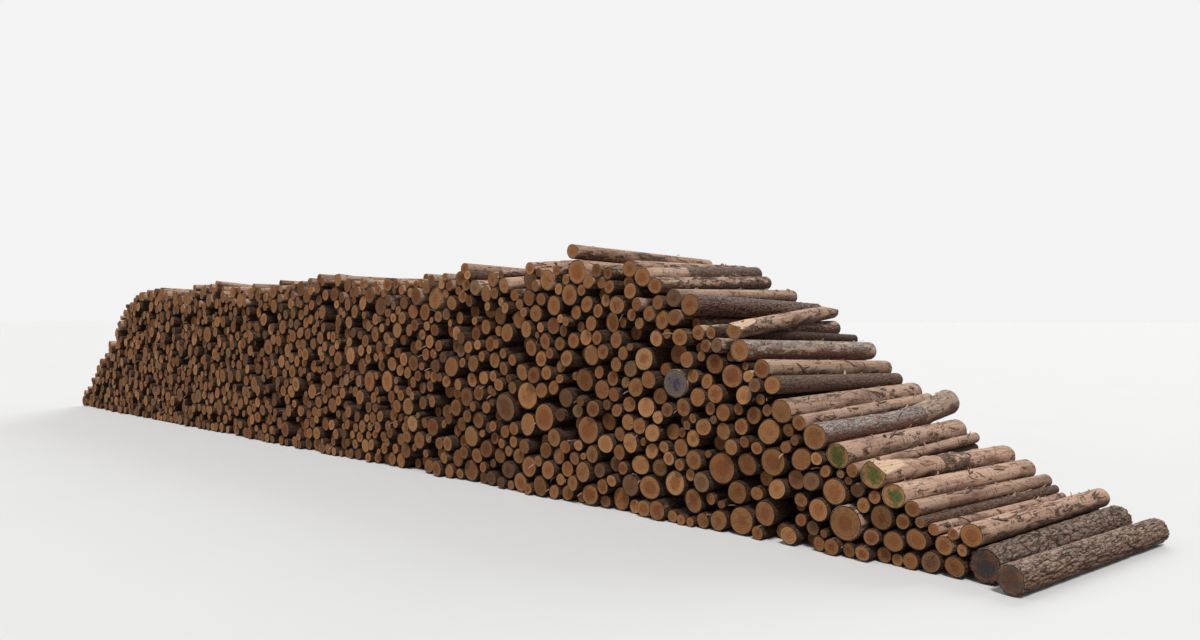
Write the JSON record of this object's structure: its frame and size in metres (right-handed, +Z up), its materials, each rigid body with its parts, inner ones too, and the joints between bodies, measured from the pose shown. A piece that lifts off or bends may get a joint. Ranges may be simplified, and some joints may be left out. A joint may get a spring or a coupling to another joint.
{
  "type": "stack of logs",
  "caption": "Long roadside stack of peeled and barked softwood logs, laid side by side and tapering to both ends.",
  "frame": {"origin": "bottom centre of the whole stack, on the ground that it lies on", "axes": "+X along the stack towards the low near end, +Y along the logs from the front face to the back one, +Z up"},
  "size_m": [17.1094, 2.3068, 2.2893],
  "materials": {
    "peeled_log": "rough sawn ends, weathered sides with remnants of bark",
    "barked_log": "rough scaly bark, rough sawn ends",
    "marked_log": "rough sawn ends with a blotch of marking paint"
  },
  "bodies": {
    "root": {"blue_marked_log": "marked_log", "crown_log_1": "peeled_log", "crown_log_2": "peeled_log", "crown_log_3": "peeled_log", "crown_log_4": "peeled_log", "crown_log_5": "peeled_log", "crown_log_6": "peeled_log", "crown_log_7": "peeled_log", "flared_butt_log": "marked_log", "lichen_log": "peeled_log", "logs_bay_01": "peeled_log", "logs_bay_02": "peeled_log", "logs_bay_03": "peeled_log", "logs_bay_04": "peeled_log", "logs_bay_05": "peeled_log", "logs_bay_06": "peeled_log", "logs_bay_07": "peeled_log", "logs_bay_08": "peeled_log", "logs_bay_09": "peeled_log", "logs_bay_10": "peeled_log", "logs_bay_11": "peeled_log", "logs_bay_12": "peeled_log", "logs_bay_13": "peeled_log", "logs_bay_14": "peeled_log", "logs_bay_15": "peeled_log", "logs_bay_16": "peeled_log", "logs_bay_17": "peeled_log", "low_marked_log": "marked_log", "marked_log": "marked_log", "outer_bark_log": "barked_log", "scaly_bark_log": "barked_log", "second_bark_log": "barked_log", "split_log": "peeled_log", "swept_butt_log": "peeled_log", "thickest_log": "peeled_log", "third_loose_log": "peeled_log"}
  },
  "joints": []
}
